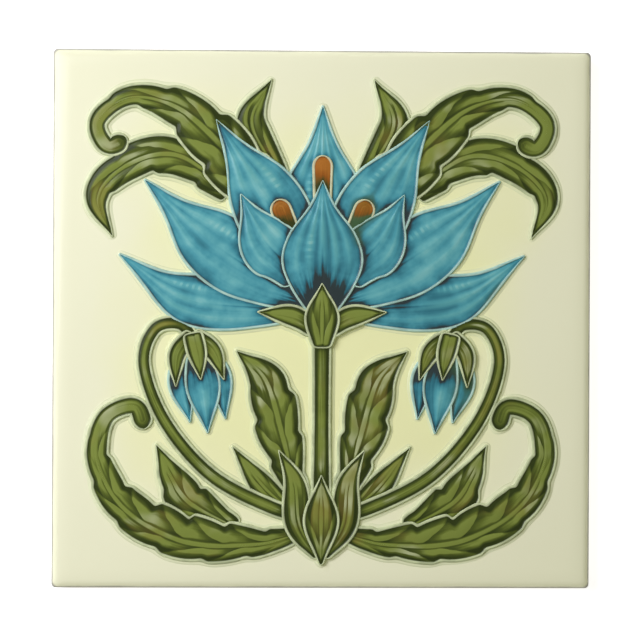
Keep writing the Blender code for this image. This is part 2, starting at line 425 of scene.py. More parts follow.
budPetals = {
    "slot": "blue_glaze",
    "throat": {"place": (35.5, -7), "dark": 2.0, "clear": 12.0},
    "shapes": [
        both("petal", [(35.5, -7), (29, -16), (27, -28)], 0.45, [2, 4.2, 0], [2, 3.4, 0], ribs=1),
        both("petal", [(35.5, -7), (39, -17), (37, -29)], 0.5, [2, 4.2, 0], [2, 3.4, 0], ribs=1),
        both("petal", [(35.5, -7), (33.5, -18), (32, -32)], 0.68, [2.4, 4.8, 0], tipLift=0.5, ribs=1),
    ],
}
stamens = {
    "slot": "amber_glaze",
    "shapes": [
        both("stamen", [(3, 10), (8.6, 23), (12.8, 33.5)], 0.92, [1.4, 2.7, 3], roundEnd=2.8),
        centred("stamen", [(0, 10), (0, 46)], 0.88, [1.6, 2.8], roundEnd=2.8),
    ],
}
pieces = {
    "upper_leaves": upperLeaves,
    "lower_leaves": lowerLeaves,
    "stems_and_sepals": stemsAndSepals,
    "petals": petals,
    "bud_petals": budPetals,
    "stamens": stamens,
}


# The outline of a pad

sampling = {
    "step": 0.48,  # mm between points along a spine
    "fewest": 8,  # points along the shortest one
    "tipSteps": 10,
    "tipFan": 8,
    "baseSteps": 7,
    "tipInset": 2.0,  # mm that the core keeps from the tip, and from the base
    "baseInset": 1.0,
    "roundInset": 0.9,  # of a round end's radius
    "edgePasses": 3,
    "ledgePasses": 9,  # for each mm outside the outline
    "columnsPerMm": 2.0,
    "fewestColumns": 6,
}
lobes = {
    "widths": (2.6, 3.8),  # half widths between which the lobes appear
    "stretch": (0.0, 0.08, 0.74, 0.95),  # where they show, as shares of the leaf's length
    "lean": 1.3,
    "bend": 0.66,
    "root": 0.04,  # the line between two lobes starts this far past the midrib
    "drop": 0.8,  # share of a lobe's length where its swell falls off
    "swell": 0.08,
    "swellOut": (0.08, 0.3),  # shares of the way out from the midrib
    "midrib": 0.1,
    "ribHeight": 0.1,
}
teeth = {"depth": 0.23, "stretch": (0.08, 0.12, 0.72, 0.82)}


def spinePlaces(shape, length):
    # even steps along the spine, then steps that close up on the tip as the sine of an even turn
    end = max(shape.get("roundEnd", 0), sampling["tipInset"]) / length
    even = np.linspace(0, 1 - end, max(sampling["fewest"], round(length * (1 - end) / sampling["step"])))
    turn = np.linspace(0, math.pi / 2, sampling["tipSteps"])[1:]
    return np.concatenate([even, 1 - end + end * np.sin(turn)])


def lobeCount(shape, along, outwards, shift):
    # Counts a leaf's lobes from base to tip. The line between two lobes leaves the midrib almost along
    # it and bends out to the outline: it lies lean (1 - outwards^bend) of a lobe further back there.
    fromRoot = np.clip((outwards + lobes["root"]) / (1 + lobes["root"]), 0, 1)
    return shape.get("notches", 0) * along + shift + lobes["lean"] * (1 - fromRoot ** lobes["bend"])


def toothed(shape, along, shift):
    # A saw-edged leaf: the half width falls at each tooth's start and swells back by the cube of the
    # way still to go, so that every tooth points to the tip.
    if "notches" not in shape:
        return np.ones((len(along), 1))
    toGo = 1 - np.mod(lobeCount(shape, along, 1, shift), 1)
    cut = shape.get("tooth", teeth["depth"]) * toGo ** 3 * within(teeth["stretch"], along)
    return (1 - cut)[:, None]


def halfWidths(shape, along, length):
    # the widths to the left and the right, closed by a circle's arc at a round end and cut by the teeth
    widths = []
    for side, shift in (("left", 0), ("right", shape["stagger"])):
        width = np.maximum(smoothPath(shape[side], along)[0], 0)
        if "roundEnd" in shape:
            fromTip = np.clip((1 - along) * length / shape["roundEnd"], 0, 1)
            width = width * np.sqrt(1 - (1 - fromTip) ** 2)[:, None]
        widths.append(width * toothed(shape, along, shift))
    return widths


def softened(loop, passes):
    # each pass replaces a point by half itself and a quarter of each neighbour
    for _ in range(passes):
        loop = 0.25 * np.roll(loop, 1, axis=0) + 0.5 * loop + 0.25 * np.roll(loop, -1, axis=0)
    return loop


def outwardNormals(edge):
    # across the line from each point's one neighbour to its other, on the side that the area's sign gives
    along = np.roll(edge, -1, axis=0) - np.roll(edge, 1, axis=0)
    along /= np.linalg.norm(along, axis=1)[:, None] + tiny
    x, y = edge.T
    area = np.sum(x * np.roll(y, -1) - np.roll(x, -1) * y)
    return np.stack([along[:, 1], -along[:, 0]], axis=1) * math.copysign(1, area)


def padEdge(shape):
    # The outline: the spine carried left by one half width and right by the other, closed across the
    # base. Each point keeps its core, the spine point it looks to, its place along and its side. The
    # tip is repeated, with normals that turn from one side's to the other's, so that its ledge is round.
    length = smoothPath(shape["spine"], [0, 1])[1]
    along = spinePlaces(shape, length)
    spine = smoothPath(shape["spine"], along)[0]
    tangent = np.gradient(spine, along, axis=0)
    tangent /= np.linalg.norm(tangent, axis=1)[:, None]
    across = np.stack([-tangent[:, 1], tangent[:, 0]], axis=1)
    left, right = halfWidths(shape, along, length)
    base = np.linspace(-1, 1, sampling["baseSteps"] + 2)[1:-1, None]
    baseEdge = spine[0] + across[0] * np.where(base > 0, base * left[0], base * right[0])
    edge = np.vstack([spine + across * left, (spine - across * right)[-2::-1], baseEdge])
    edge = softened(edge, sampling["edgePasses"])
    normal = outwardNormals(edge)
    tip = len(along) - 1
    fan = np.linspace(0, 1, sampling["tipFan"])[:, None]
    fanned = normal[tip - 1] * (1 - fan) + normal[tip + 1] * fan
    fanned /= np.linalg.norm(fanned, axis=1)[:, None]
    repeat = np.ones(len(edge), int)
    repeat[tip] = len(fan)

    def walkRound(up, down, across):
        # up the left side, over the tip, down the right side and across the base
        return np.repeat(np.concatenate([up, down[-2::-1], across]), repeat, axis=0)

    tipInset = max(sampling["roundInset"] * shape.get("roundEnd", 0), sampling["tipInset"]) / length
    core = smoothPath(shape["spine"], np.clip(along, sampling["baseInset"] / length, 1 - tipInset))[0]
    width = (left + right)[:, 0] / 2
    ones = np.ones(len(along))
    atBase = np.zeros(len(base))
    return {
        "length": length,
        "edge": np.repeat(edge, repeat, axis=0),
        "normal": np.vstack([normal[:tip], fanned, normal[tip + 1:]]),
        "core": walkRound(core, core, np.tile(core[0], (len(base), 1))),
        "along": walkRound(along, along, atBase),
        "side": walkRound(ones, -ones, base[:, 0]),
        "width": walkRound(width, width, atBase + width[0]),
    }


# The surface inside an outline. Each field gives its height in mm, how deep the glaze pools on it, from
# 0 to 1, and its marks. Depth is the way in from the outline, and width the whole way to the core.

thinnest = 0.2  # mm, the least width that a share of it is taken of
leafForm = {
    "rim": 0.6,  # mm in from the outline where a swell starts
    "height": 0.28,
    "fullWidth": 5.5,  # half width at which a leaf has that height, and the least and most share of it
    "shares": (0.3, 1.15),
    "doubled": (2.6, 4.2),  # half widths between which a narrow leaf's one swell becomes two
    "skew": 0.8,  # below 1 the two tops move away from the midrib
    "stretch": (0.0, 0.06, 0.9, 1.0),
    "endHeight": 0.35,
}
leafPool = {
    "band": 0.5,  # share of the half width that pools, and its least and most in mm
    "limits": (0.9, 2.7),
    "from": 0.25,  # share of the band that is fully dark
    "rim": 0.3,
    "clear": 0.98,
    "endClear": 0.55,
    # paler along the tops of the swells: thinner glaze and a painted highlight
    "crest": 0.16,  # thinner on the tops of leaves over these half widths
    "topHighlightOver": (1.8, 3.2),
    "topHighlightWidth": 0.2,
}
stemForm = {"rim": 0.35, "height": 0.3, "edgePool": 1.05, "clearing": (0.1, 0.85)}
petalForm = {"rim": 0.6, "height": 0.22, "tipFrom": 0.8}
petalPool = {
    "clear": 0.36,
    "edge": 0.4,
    "edgeFrom": 0.5,
    "edgeReach": 0.8,
    "base": 0.12,
    "baseFade": (0.8, 0.3),
}
crease = {"width": 0.35, "depth": 0.12, "pool": 0.4, "fade": (0.6, 0.3)}
flutes = {
    "stretch": (0.12, 0.55, 0.72, 0.96),
    "ribWidth": 0.2,
    "ribHeight": 0.13,
    "ribClear": 0.2,
    "valleyWidth": 0.16,
    "valleyPool": 0.12,
}
crinkles = {
    "pitch": 2.0,  # mm
    "height": 0.012,
    "rowWidth": 0.09,
    "stretch": (0.0, 0.05, 0.15, 0.25),  # after the row's start
    "clear": 0.22,
    "levels": (-0.4, 0.9),  # the part of the wave that shows
}
stamenPool = {"clear": 0.12, "edge": 0.42, "edgeFade": (0.9, 0.2), "base": 0.75, "baseFade": (0.95, 0.62)}


def inwardShare(depth, width, rim):
    return np.clip((depth - rim) / np.maximum(width - rim, thinnest), 0, 1)


def leafField(depth, width, along, side, shape):
    # Two swells, one on each side of the midrib, each a cosine hump over the way in. The glaze runs off
    # them and pools by the outline. Each lobe rises evenly along its length and drops at its end.
    inwards = inwardShare(depth, width, leafForm["rim"])
    ends = within(leafForm["stretch"], along)
    doubled = ease(*leafForm["doubled"], width)
    swell = hump(inwards ** leafForm["skew"]) * doubled + hump(inwards / 2) * (1 - doubled)
    size = np.clip(width / leafForm["fullWidth"], *leafForm["shares"])
    height = leafForm["height"] * size * swell * (leafForm["endHeight"] + (1 - leafForm["endHeight"]) * ends)

    band = np.clip(width * leafPool["band"], *leafPool["limits"])
    cleared = ease(leafPool["from"] * band + leafPool["rim"], band + leafPool["rim"], depth)
    cleared = cleared * (leafPool["endClear"] + (1 - leafPool["endClear"]) * ends)
    # a paler line along each swell's top, as thin glaze and painted highlight
    thinAndHighlitTop = bell(inwards - 0.5, leafPool["topHighlightWidth"]) * ends * ease(*leafPool["topHighlightOver"], width)
    pool = 1 - leafPool["clear"] * cleared - leafPool["crest"] * thinAndHighlitTop

    lobed = ease(*lobes["widths"], width) * within(lobes["stretch"], along)
    mark = np.broadcast_to(lobed * shape.get("veins", 0), depth.shape)
    outwards = 1 - depth / width
    share = np.mod(lobeCount(shape, along, outwards, shape["stagger"] * (side < 0)), 1)
    rise = share * ease(1.0, lobes["drop"], share) * ease(*lobes["swellOut"], outwards)
    rib = bell(outwards, lobes["midrib"])
    return height + mark * (lobes["swell"] * size * rise + lobes["ribHeight"] * rib), pool, mark


def stemField(depth, width, along, side, shape):
    # a half-round stem: a quarter circle over the way in
    inwards = inwardShare(depth, width, stemForm["rim"])
    crown = np.sqrt(1 - (1 - inwards) ** 2)
    pool = stemForm["edgePool"] - ease(*stemForm["clearing"], inwards)
    return stemForm["height"] * crown, pool, 0 * crown


def crinkleRow(outwards, along, side, shape):
    # where the rungs lie: on the outermost rib but one, to the left of the midline
    if "crinkle" not in shape:
        return 0 * outwards
    row = bell(outwards - 1 / shape["ribs"], crinkles["rowWidth"])
    return row * within(shape["crinkle"] + np.array(crinkles["stretch"]), along) * (side > 0)


def petalField(depth, width, along, side, shape):
    # A low dome with a crease up the lower half and flutes that fan out from the base: the way from the
    # midline to the edge, times the number of ribs, comes round to a whole number on each rib.
    dome = 1 - (1 - inwardShare(depth, width, petalForm["rim"])) ** 2
    outwards = 1 - depth / np.maximum(width, thinnest)
    offRib = np.abs(np.mod(outwards * shape["ribs"] + 0.5, 1) - 0.5)
    fluted = within(flutes["stretch"], along) * np.sqrt(dome)
    rib = bell(offRib, flutes["ribWidth"]) * fluted
    valley = bell(0.5 - offRib, flutes["valleyWidth"]) * fluted
    fold = bell(width - depth, crease["width"]) * ease(*crease["fade"], along)
    mark = crinkleRow(outwards, along, side, shape)
    rungs = mark * np.sin(2 * math.pi * along * shape["loop"]["length"] / crinkles["pitch"])

    height = petalForm["height"] * dome * ease(1, petalForm["tipFrom"], along)
    height = height + flutes["ribHeight"] * rib - crease["depth"] * fold + crinkles["height"] * rungs
    byEdge = np.exp(-np.maximum(depth - petalPool["edgeFrom"], 0) / petalPool["edgeReach"])
    byBase = ease(*petalPool["baseFade"], along)
    pool = petalPool["clear"] + petalPool["edge"] * byEdge + petalPool["base"] * byBase
    pool = pool + crease["pool"] * fold + flutes["valleyPool"] * valley - flutes["ribClear"] * rib
    return height, pool, mark


def stamenField(depth, width, along, side, shape):
    # a half-round head, amber at its end and run with dark glaze towards its base
    height, pool, mark = stemField(depth, width, along, side, shape)
    byEdge = pool * ease(*stamenPool["edgeFade"], depth)
    byBase = ease(*stamenPool["baseFade"], along)
    return height, stamenPool["clear"] + stamenPool["edge"] * byEdge + stamenPool["base"] * byBase, mark


fields = {"leaf": leafField, "stem": stemField, "petal": petalField, "stamen": stamenField}


# A whole pad: ledge, raised outline and surface

ridge = {
    "height": 0.3,
    "top": 0.08,  # half the width of its flat top
    "outer": 0.58,  # mm out and in from the outline where its two flanks end
    "inner": 0.86,
    "fullFrom": 2.2,  # half width below which it gets narrower, and the least share left of it
    "least": 0.3,
    "most": 0.9,  # share of the way to the core that it may take
}
ledge = {
    "height": 0.11,
    "liftShare": 0.05,
    "fall": (1.45, 0.7),  # mm out from the outline
    "root": -0.25,  # buried in the body
    "rootFrom": 1.35,
}
padFloor = {"glaze": 0.04, "tipFrom": 0.2}
flowUnit = 10.0  # mm along a form that its flow map counts as one
outsideOffsets = np.array([1.75, 1.5, 1.33, 1.16, 1.0, 0.84, 0.7, 0.58, 0.46, 0.34, 0.22, 0.1, 0.0])
ridgeDepths = np.array([0.1, 0.2, 0.3, 0.42, 0.54, 0.66, 0.78, 0.9, 1.05])
overlap = {  # where a higher pad lies over this one
    "far": 6.0,  # mm, past which nothing is measured
    "sink": 0.6,
    "sinkReach": 0.7,
    "pool": 0.5,
    "poolFrom": 0.45,
    "poolReach": 0.9,
}
tones = {
    "outsidePool": 0.6,
    "crest": (0.3, 0.58),  # mm in from the outline where its pale crest ends
    "ledge": (0.34, 0.52),  # mm out from it where the ground's glaze takes over
    # where the line of painted shade at the ledge's foot lies
    "footLine": 1.25,
    "footWidth": 0.2,
}


def distanceToLoops(xy, loops):
    # the distance from each point to the nearest stretch of any loop, negative inside that loop
    points = xy.reshape(-1, 2)
    least = np.full(len(points), overlap["far"])
    margin = overlap["far"] / 2
    for loop in loops:
        near = np.all((points > loop.min(axis=0) - margin) & (points < loop.max(axis=0) + margin), axis=1)
        if not near.any():
            continue
        p = points[near][:, None]
        a, b = loop[None], np.roll(loop, -1, axis=0)[None]
        run = b - a
        share = np.clip(np.sum((p - a) * run, axis=2) / (np.sum(run * run, axis=2) + tiny), 0, 1)
        gap = np.sqrt(np.min(np.sum((p - a - share[..., None] * run) ** 2, axis=2), axis=1))
        rising = (a[..., 1] > p[..., 1]) != (b[..., 1] > p[..., 1])
        slope = run[..., 0] / np.where(run[..., 1] == 0, tiny, run[..., 1])
        crossed = rising & (p[..., 0] < a[..., 0] + (p[..., 1] - a[..., 1]) * slope)
        inside = crossed.sum(axis=1) % 2 == 1
        least[near] = np.minimum(least[near], np.where(inside, -gap, gap))
    return least.reshape(xy.shape[:-1])


def padHeights(shape, out, deep, thin, swell):
    # The raised outline's flanks are half turns of a cosine, down to the ledge and down to the floor.
    # The ledge falls to the ground and, at its root, into it.
    lift = shape["lift"] + (shape.get("tipLift", shape["lift"]) - shape["lift"]) \
        * ease(padFloor["tipFrom"], 1, shape["loop"]["along"])
    crest = lift + ridge["height"]
    floor = lift + padFloor["glaze"]
    shelf = (ledge["height"] + ledge["liftShare"] * lift) * ease(*ledge["fall"], out)
    shelf = shelf + ledge["root"] * ease(ledge["rootFrom"], outsideOffsets[0], out)
    outerShare = np.clip((out - ridge["top"]) / (ridge["outer"] - ridge["top"]), 0, 1)
    innerShare = np.clip((deep / thin - 2 * ridge["top"]) / (ridge["inner"] - 2 * ridge["top"]), 0, 1)
    outHeight = shelf + (crest - shelf) * (1 - hump(outerShare / 2))
    inHeight = floor + (crest - floor) * (1 - hump(innerShare / 2)) + swell * hump(innerShare / 2)
    return np.vstack([np.full_like(outHeight[:1], ledge["root"]), outHeight, inHeight])


def padValues(out, deep, thin, pool, mark):
    # what the glazes read: how much of each point is crest, ledge and the ledge's foot, where a line of shade
    # is painted
    outside = np.zeros((len(out) + 1, deep.shape[1]))
    outRows = outside[1:]
    onLedge = ease(*tones["ledge"], out) + outRows
    onFootShade = bell(out - tones["footLine"], tones["footWidth"]) + outRows
    onCrest = 1 - ease(*tones["crest"], deep / thin)
    return {
        "pool": np.vstack([outside + tones["outsidePool"], pool]),
        "edge": np.vstack([outside + 1, onCrest]),
        "ledge": np.vstack([outside[:1] + 1, onLedge, deep * 0]),
        "foot": np.vstack([outside[:1], onFootShade, deep * 0]),
        "mark": np.vstack([outside, mark]),
    }


def reliefPad(shape, mirror, higher, throat):
    # Columns run from the pad's buried middle out to its foot, up the ledge, over the raised outline,
    # down into the pool and in to the core. Rows follow the outline round.
    loop = shape["loop"]
    inward = loop["core"] - loop["edge"]
    reach = np.linalg.norm(inward, axis=1)
    inward /= reach[:, None] + tiny
    thin = np.clip(np.minimum(loop["width"], reach) / ridge["fullFrom"], ridge["least"], 1)
    out = outsideOffsets[:, None]
    rim = np.minimum(ridgeDepths[:, None] * thin, ridge["most"] * reach)
    steps = max(sampling["fewestColumns"], round(loop["width"].max() * sampling["columnsPerMm"]))
    share = np.linspace(0, 1, steps + 1)[1:, None]
    deep = np.vstack([rim, rim[-1] + (reach - rim[-1]) * share])

    outXY = loop["edge"][None] + loop["normal"][None] * out[..., None]
    for column, offset in enumerate(outsideOffsets):
        outXY[column] = softened(outXY[column], round(offset * sampling["ledgePasses"]))
    inXY = loop["edge"][None] + inward[None] * deep[..., None]
    xy = np.vstack([loop["core"][None], outXY, inXY]) * [mirror, 1]
    field = fields[shape["kind"]]
    swell, pool, mark = field(deep, reach[None], loop["along"][None], loop["side"][None], shape)
    apart = distanceToLoops(xy, higher)
    height = padHeights(shape, out, deep, thin, swell)
    height = height - overlap["sink"] * ease(0, -overlap["sinkReach"], apart)
    points = np.dstack([xy, height + groundHeight]) * mm

    values = padValues(out, deep, thin, pool, mark)
    beside = np.exp(-np.maximum(apart - overlap["poolFrom"], 0) / overlap["poolReach"])
    values["pool"] = values["pool"] + overlap["pool"] * beside
    values["dark"] = np.zeros(height.shape)
    if throat:
        away = np.linalg.norm(xy - np.asarray(throat["place"]) * [mirror, 1], axis=-1)
        values["dark"] = ease(throat["clear"], throat["dark"], away)
    outwards = np.vstack([np.ones((len(out) + 1, len(reach))), 1 - deep / reach])
    counted = lobeCount(shape, loop["along"], outwards, shape["stagger"] * (loop["side"] < 0))
    along = np.broadcast_to(loop["along"] * loop["length"] / flowUnit, height.shape)
    maps = {"flow": np.dstack([along, outwards * loop["side"]]), "lobes": np.dstack([counted, outwards])}
    return points.reshape(-1, 3), ringFaces(*height.shape), \
        {key: value.ravel() for key, value in values.items()}, \
        {key: value.reshape(-1, 2) for key, value in maps.items()}


def reliefPiece(name, look, everyShape):
    # joins a piece's pads and their mirror images into one mesh
    pads = []
    for shape in look["shapes"]:
        higher = [other["loop"]["edge"][::2] * [side, 1] for other in everyShape
                  if other["lift"] > shape["lift"] for side in other["sides"]]
        pads += [reliefPad(shape, mirror, higher, look.get("throat")) for mirror in shape["sides"]]
    points, faces, values, maps = zip(*pads)
    starts = np.cumsum([0] + [len(each) for each in points])
    piece = meshPiece(name, np.vstack(points),
                      np.vstack([each + start for each, start in zip(faces, starts)]),
                      {key: np.concatenate([each[key] for each in values]) for key in values[0]},
                      {key: np.vstack([each[key] for each in maps]) for key in maps[0]})
    print(f"stage: {name}, {len(piece.data.polygons)} faces")
    return piece


# Glazes. Pattern scales are turns in a metre, and each pattern shows between the two levels it names.

def srgb(red, green, blue):
    # a colour as a painter's 0 to 255 values, made linear
    value = np.array([red, green, blue]) / 255
    linear = np.where(value <= 0.04045, value / 12.92, ((value + 0.055) / 1.055) ** 2.4)
    return (*[float(v) for v in linear], 1.0)


creamGlaze = {
    "middle": srgb(250, 250, 190),
    "rim": srgb(250, 249, 214),
    "centre": (2.4 * mm, 1.9 * mm),
    "fade": (33 * mm, 68.5 * mm),  # where the yellow gives way, out from its centre
    "squareness": 6.0,  # 2 would be a circle
    "cloudScale": 26.0,
    "clouds": (-8 * mm, 8 * mm),
    # a darker line painted along the ledge's foot as shade
    "foot": srgb(206, 206, 158),
    "ledgeShare": 0.55,
    # greyer where the glaze has drawn off the arris, and darkened further there as painted shade
    "thin": srgb(171, 169, 154),  # where it has drawn off the arris
    "thinLine": (7.2 * mm, 7.5 * mm),
    "thinFade": (-0.3 * mm, 0.35 * mm),
    "thinFoot": (5.5 * mm, 6.5 * mm),  # it thickens again under the arris
    "thinRoughness": 0.6,
    "roughness": 0.17,
    "shine": 0.16,  # against 0.5 for a plain gloss
}
biscuit = {
    "colour": srgb(222, 208, 184),
    "stain": srgb(200, 182, 152),
    "line": (4.1 * mm, 5.9 * mm),  # the heights between which the glaze ends
    "lineNoise": {"scale": 95.0, "detail": 3.0},
    "lineFade": (-0.12 * mm, 0.12 * mm),
    "speckNoise": {"scale": 420.0, "detail": 5.0, "roughness": 0.7},
    "roughness": 0.85,
    "grain": 0.1 * mm,
}
greenGlaze = {
    "stops": [(0.0, srgb(132, 145, 68)), (0.22, srgb(107, 120, 51)), (0.5, srgb(84, 95, 40)),
              (0.78, srgb(68, 79, 35)), (1.0, srgb(54, 64, 28))],
    "crest": srgb(211, 220, 174),
    "tint": srgb(222, 230, 184),
    "patch": srgb(158, 126, 62),
    "patchShare": 0.26,
    "bleedShare": 0.0,
    # pale colour of worn thin places on high relief, which is partly a painted highlight
    "wornAndHighlight": srgb(210, 215, 174),
    "wornAndHighlightShare": 0.6,
    "mottle": 0.26,
    "streak": 0.42,
    "streakScale": (0.3, 4.5, 1.0),
    "veined": True,
    "markDepth": 0.03 * mm,
    "shine": 0.1,
}
blueGlaze = {
    "stops": [(0.0, srgb(146, 204, 200)), (0.28, srgb(108, 182, 186)), (0.52, srgb(80, 158, 170)),
              (0.8, srgb(52, 116, 131)), (1.0, srgb(53, 64, 65))],
    "crest": srgb(188, 222, 206),
    "tint": srgb(230, 236, 196),
    "patch": srgb(104, 176, 172),
    "patchShare": 0.6,
    "bleedShare": 0.55,
    "wornAndHighlight": srgb(172, 216, 206),
    "wornAndHighlightShare": 0.4,
    "mottle": 0.42,
    "streak": 0.12,
    "streakScale": (0.5, 6.0, 1.0),
    "veined": False,
    "markDepth": 0.03 * mm,
    "shine": 0.15,
}
amberGlaze = {
    "stops": [(0.0, srgb(180, 114, 46)), (0.35, srgb(156, 91, 34)), (0.7, srgb(112, 84, 36)),
              (1.0, srgb(62, 66, 32))],
    "crest": srgb(222, 222, 180),
    "tint": srgb(232, 238, 200),
    "patch": srgb(120, 110, 40),
    "patchShare": 0.6,
    "bleedShare": 0.7,
    "wornAndHighlight": srgb(206, 160, 84),
    "wornAndHighlightShare": 0.2,
    "mottle": 0.4,
    "streak": 0.3,
    "streakScale": (0.5, 6.0, 1.0),
    "veined": False,
    "markDepth": 0.08 * mm,
    "shine": 0.15,
}
bleedColour = srgb(72, 108, 74)  # where green has run into its neighbour
glazeRoughness = (0.2, 0.34)  # in the pools and on the crests
glazeIndex = 1.5  # how strongly glaze bends light
patterns = {
    "fineCloud": {"scale": 150.0, "detail": 3.0},
    "broadCloud": {"scale": 48.0, "detail": 2.0},
    "cloudLevels": (0.7, 1.3),
    "streak": {"scale": 1.0, "detail": 3.0, "roughness": 0.5},
    "streakLevels": (0.25, 0.75),
    "rayLevels": (0.3, 0.7),
    "rays": (0.4, 1.4),  # how much darker a throat is between its rays and on them
    "patch": {"scale": 62.0, "levels": (0.5, 0.72), "pools": (0.1, 0.55)},  # fades or grows over these pools
    # pale patches on high places: worn thin glaze and a painted highlight
    "wornAndHighlight": {"scale": 75.0, "levels": (0.5, 0.74), "pools": (0.05, 0.4)},
    "bleed": {"scale": 33.0, "levels": (0.63, 0.7), "pools": (0.45, 0.7)},
    "crest": {"scale": 240.0, "levels": (0.35, 0.65), "shares": (0.72, 1.0)},
    "foot": {"scale": 85.0, "levels": (0.35, 0.65), "shares": (0.0, 0.45)},
    "cloud": (0.2, 0.8),
    "speck": (0.35, 0.7),
}
lobeTones = {  # changes of the glaze's thickness, from 0 to 1, and shares of a lobe or of the way out
    "wander": {"scale": 130.0, "levels": (0.2, 0.8), "shares": (-0.09, 0.09)},
    "pool": (0.8, 0.52),  # by the midrib and by the outline
    "poolOut": (0.35, 0.8),
    "poolAlong": (0.0, 0.04, 0.0, 0.6),
    "lip": 0.3,
    "lipAlong": (0.62, 0.92, 0.94, 1.0),
    "clearOfRib": (0.1, 0.24),
    "rib": (-0.3, 0.0),
    "ribOut": (0.03, 0.1),
    "ribSide": 0.55,
    "ribSideOut": (0.08, 0.13, 0.14, 0.24),
}


class Wiring:
    # a short way to add nodes and join them
    def __init__(self, name):
        self.material = bpy.data.materials.new(name)
        self.material.use_nodes = True
        self.tree = self.material.node_tree
        self.shader = self.tree.nodes["Principled BSDF"]
        self.place = self.add("ShaderNodeTexCoord").outputs["Object"]

    def add(self, kind, inputs=None, **settings):
        made = self.tree.nodes.new(kind)
        for key, value in settings.items():
            setattr(made, key, value)
        for key, value in (inputs or {}).items():
            self.put(made.inputs[key], value)
        return made

    def put(self, socket, value):
        if isinstance(value, bpy.types.NodeSocket):
            self.tree.links.new(value, socket)
        else:
            socket.default_value = value

    def maths(self, operation, a, b=0.0, clamp=False):
        made = self.add("ShaderNodeMath", {0: a, 1: b}, operation=operation, use_clamp=clamp)
        return made.outputs[0]

    def times(self, a, b):
        return self.maths("MULTIPLY", a, b)

    def plus(self, a, b):
        return self.maths("ADD", a, b)

    def minus(self, a, b):
        return self.maths("SUBTRACT", a, b)

    def blend(self, share, first, second):
        made = self.add("ShaderNodeMix", data_type="RGBA")
        for socket, value in ((0, share), (6, first), (7, second)):  # the factor and the two colours
            self.put(made.inputs[socket], value)
        return made.outputs[2]

    def spread(self, value, levels, shares=(0.0, 1.0)):
        # eases from the first share to the second as the value goes from the first level to the second
        made = self.add("ShaderNodeMapRange", interpolation_type="SMOOTHSTEP")
        for socket, number in enumerate((value, *levels, *shares)):
            self.put(made.inputs[socket], number)
        return made.outputs[0]

    def within(self, stretch, value):
        # as within does for numbers
        return self.times(self.spread(value, stretch[:2]), self.spread(value, stretch[2:], (1.0, 0.0)))

    def noise(self, scale, detail=2.0, roughness=0.55, vector=None):
        inputs = {"Vector": vector or self.place, "Scale": scale, "Detail": detail, "Roughness": roughness}
        return self.add("ShaderNodeTexNoise", inputs).outputs["Fac"]

    def blotches(self, look):
        return self.spread(self.noise(look["scale"]), look["levels"], look.get("shares", (0.0, 1.0)))

    def attribute(self, name):
        return self.add("ShaderNodeAttribute", attribute_name=name).outputs["Fac"]

    def uvMap(self, name):
        return self.add("ShaderNodeUVMap", uv_map=name).outputs["UV"]

    def finish(self, colour, roughness, shine, relief, depth):
        self.put(self.shader.inputs["Base Color"], colour)
        self.put(self.shader.inputs["Roughness"], roughness)
        self.shader.inputs["IOR"].default_value = glazeIndex
        self.shader.inputs["Specular IOR Level"].default_value = shine
        bump = self.add("ShaderNodeBump", {"Height": relief, "Strength": 1.0, "Distance": depth})
        self.put(self.shader.inputs["Normal"], bump.outputs["Normal"])
        return self.material


def creamColour(net):
    # Yellower where the glaze lies thick round the relief: within a square with soft corners, whose
    # reach is the nth root of x to the n plus y to the n. A faint cloudiness shifts it.
    power = creamGlaze["squareness"]
    split = net.add("ShaderNodeSeparateXYZ", {0: net.place})
    powers = []
    for axis, centre in zip("XY", creamGlaze["centre"]):
        away = net.maths("ABSOLUTE", net.minus(split.outputs[axis], centre))
        powers.append(net.maths("POWER", away, power))
    reach = net.maths("POWER", net.plus(*powers), 1 / power)
    cloud = net.spread(net.noise(creamGlaze["cloudScale"]), patterns["cloud"], creamGlaze["clouds"])
    share = net.spread(net.plus(reach, cloud), creamGlaze["fade"])
    return net.blend(share, creamGlaze["middle"], creamGlaze["rim"])


def lobeMarks(net):
    # Each lobe starts in a dark pool that clears along it, and ends in a thin pale lip. A pale midrib
    # lies between two dark lines. The way along a lobe is the fraction of the lobe count.
    split = net.add("ShaderNodeSeparateXYZ", {0: net.uvMap("lobes")})
    out = split.outputs["Y"]
    share = net.maths("FRACT", net.plus(split.outputs["X"], net.blotches(lobeTones["wander"])))
    pooled = net.spread(out, lobeTones["poolOut"], lobeTones["pool"])
    pooled = net.times(net.within(lobeTones["poolAlong"], share), pooled)
    lip = net.times(net.within(lobeTones["lipAlong"], share), lobeTones["lip"])
    lobed = net.times(net.minus(pooled, lip), net.spread(out, lobeTones["clearOfRib"]))
    rib = net.spread(out, lobeTones["ribOut"], lobeTones["rib"])
    ribSide = net.times(net.within(lobeTones["ribSideOut"], out), lobeTones["ribSide"])
    return net.times(net.plus(lobed, net.plus(rib, ribSide)), net.attribute("mark"))


def crinkleMarks(net, flow):
    # a row of small rungs: a sine wave along the petal, shown where the mark attribute is
    along = net.add("ShaderNodeSeparateXYZ", {0: flow}).outputs["X"]
    wave = net.maths("SINE", net.times(along, 2 * math.pi * flowUnit / crinkles["pitch"]))
    return net.times(net.spread(wave, crinkles["levels"]), net.attribute("mark"))


def glazeRamp(net, thickness, stops):
    # the glaze's colour from where it lies thin to where it lies thick
    ramp = net.add("ShaderNodeValToRGB", {"Fac": thickness})
    elements = ramp.color_ramp.elements
    while len(elements) < len(stops):
        elements.new(0.5)
    for element, (position, colour) in zip(elements, stops):
        element.position = position
        element.color = colour
    return ramp.outputs["Color"]


